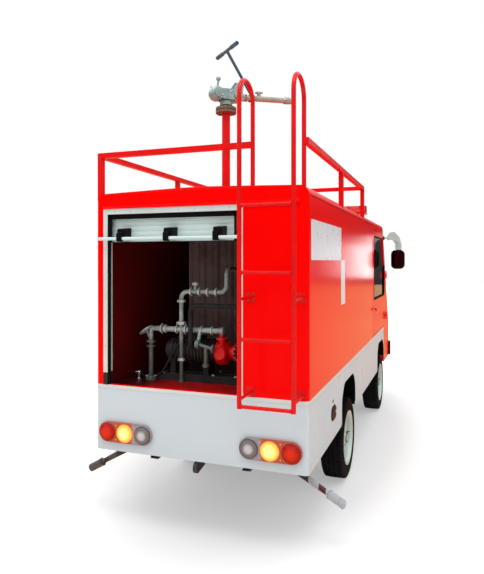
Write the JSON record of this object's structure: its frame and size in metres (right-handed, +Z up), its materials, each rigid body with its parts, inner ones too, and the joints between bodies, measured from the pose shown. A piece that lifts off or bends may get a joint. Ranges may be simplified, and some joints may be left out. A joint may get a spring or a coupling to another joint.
{
  "type": "electric fire truck",
  "caption": "Small battery-electric fire truck with a box body, open rear pump bay, roof ladder with guard rail, and a roof water monitor that turns and lifts.",
  "frame": {"origin": "on the ground under the middle of the overall length and width", "axes": "+X forward, +Y to the vehicle's left, +Z up"},
  "size_m": [5.151, 1.979, 3.3782],
  "materials": {
    "red_body": "gloss",
    "white_skirt": "gloss",
    "trim_cream": "satin",
    "red_tube": "gloss",
    "chassis_black": "satin",
    "battery_grey": "satin",
    "floor_red": "satin",
    "tyre_rubber": "matte",
    "rim_silver": "satin",
    "alu": "satin",
    "alu_slats": "satin",
    "tank_paint": "satin",
    "pump_red": "satin",
    "steel_pipe": "satin",
    "flange_brown": "satin",
    "handle_slate": "satin",
    "hose_black": "matte",
    "monitor_paint": "satin",
    "barrel_bronze": "satin",
    "lens_red": "gloss",
    "lamp_mix": "gloss",
    "lamp_clear": "gloss",
    "glass_tint": "gloss",
    "rubber_black": "matte",
    "plastic_black": "matte",
    "seat_cloth": "satin",
    "dash_grey": "matte",
    "mirror_plastic": "satin"
  },
  "bodies": {
    "truck": {"skirt_panels": "white_skirt", "belt_trim": "trim_cream", "box_sides": "red_body", "rear_frame": "red_body", "box_roof": "red_body", "cab_shell": "red_body", "windscreen": "glass_tint", "floor_panel": "floor_red", "cab_back_wall": "dash_grey", "frame_rails": "chassis_black", "cross_members": "chassis_black", "tow_eyes": "chassis_black", "floor_bearers": "chassis_black", "body_posts": "chassis_black", "arch_panels": "chassis_black", "front_bumper": "plastic_black", "battery_pack": "battery_grey", "rear_axle": "chassis_black", "front_axle": "chassis_black", "leaf_springs": "chassis_black", "guard_rail": "red_tube", "ladder": "red_tube", "light_bar": "lens_red", "monitor_riser": "red_tube", "monitor_flange": "flange_brown", "lift_brackets": "plastic_black", "shutter_frame": "alu", "shutter_curtain": "alu_slats", "water_tank": "tank_paint", "tail_lamp_bodies": "plastic_black", "tail_lenses": "lamp_mix", "marker_lamps": "rubber_black", "charge_lid": "plastic_black", "pump_motor": "chassis_black", "pump_volute": "pump_red", "pipework": "steel_pipe", "transfer_pipe": "hose_black", "seats": "seat_cloth", "dashboard": "dash_grey", "mirrors": "mirror_plastic", "headlamps": "lamp_clear"},
    "wheel_fl": {"tyre_fl": "tyre_rubber", "rim_fl": "rim_silver"},
    "wheel_fr": {"tyre_fr": "tyre_rubber", "rim_fr": "rim_silver"},
    "wheel_rl": {"tyre_rl": "tyre_rubber", "rim_rl": "rim_silver"},
    "wheel_rr": {"tyre_rr": "tyre_rubber", "rim_rr": "rim_silver"},
    "knuckle_left": {"knuckle_left": "chassis_black"},
    "knuckle_right": {"knuckle_right": "chassis_black"},
    "door_left": {"door_left": "red_body", "door_glass_left": "glass_tint"},
    "door_right": {"door_right": "red_body", "door_glass_right": "glass_tint"},
    "steering_wheel": {"steering_wheel": "plastic_black"},
    "monitor_head": {"monitor_head": "monitor_paint"},
    "monitor_barrel": {"monitor_barrel": "barrel_bronze", "monitor_handle": "handle_slate"}
  },
  "joints": [
    {"name": "steer_left", "type": "hinge", "parent": "truck", "child": "knuckle_left", "pos_m": [1.4535, 0.5, 0.33], "axis": [0, 0, 1], "range_deg": [-32, 32]},
    {"name": "steer_right", "type": "hinge", "parent": "truck", "child": "knuckle_right", "pos_m": [1.4535, -0.5, 0.33], "axis": [0, 0, 1], "range_deg": [-32, 32]},
    {"name": "spin_fl", "type": "hinge", "parent": "knuckle_left", "child": "wheel_fl", "pos_m": [1.4535, 0.657, 0.33], "axis": [0, 1, 0], "continuous": true},
    {"name": "spin_fr", "type": "hinge", "parent": "knuckle_right", "child": "wheel_fr", "pos_m": [1.4535, -0.657, 0.33], "axis": [0, 1, 0], "continuous": true},
    {"name": "spin_rl", "type": "hinge", "parent": "truck", "child": "wheel_rl", "pos_m": [-0.8865, 0.657, 0.33], "axis": [0, 1, 0], "continuous": true},
    {"name": "spin_rr", "type": "hinge", "parent": "truck", "child": "wheel_rr", "pos_m": [-0.8865, -0.657, 0.33], "axis": [0, 1, 0], "continuous": true},
    {"name": "door_left_hinge", "type": "hinge", "parent": "truck", "child": "door_left", "pos_m": [1.9435, 0.766, 1.4], "axis": [0, 0, -1], "range_deg": [0, 68]},
    {"name": "door_right_hinge", "type": "hinge", "parent": "truck", "child": "door_right", "pos_m": [1.9435, -0.766, 1.4], "axis": [0, 0, 1], "range_deg": [0, 68]},
    {"name": "steering_turn", "type": "hinge", "parent": "truck", "child": "steering_wheel", "pos_m": [1.7635, 0.37, 1.47], "axis": [-0.7529, 0, 0.6581], "range_deg": [-512, 512]},
    {"name": "monitor_turn", "type": "hinge", "parent": "truck", "child": "monitor_head", "pos_m": [-1.8065, 0, 2.97], "axis": [0, 0, 1], "continuous": true},
    {"name": "monitor_lift", "type": "hinge", "parent": "monitor_head", "child": "monitor_barrel", "pos_m": [-1.75384, -0.0491, 3.032], "axis": [-0.682, -0.7314, 0], "range_deg": [-15, 50]}
  ],
  "couplings": [
    {"joint": "steer_right", "follows": "steer_left", "ratio": 1},
    {"joint": "steering_turn", "follows": "steer_left", "ratio": 15}
  ]
}
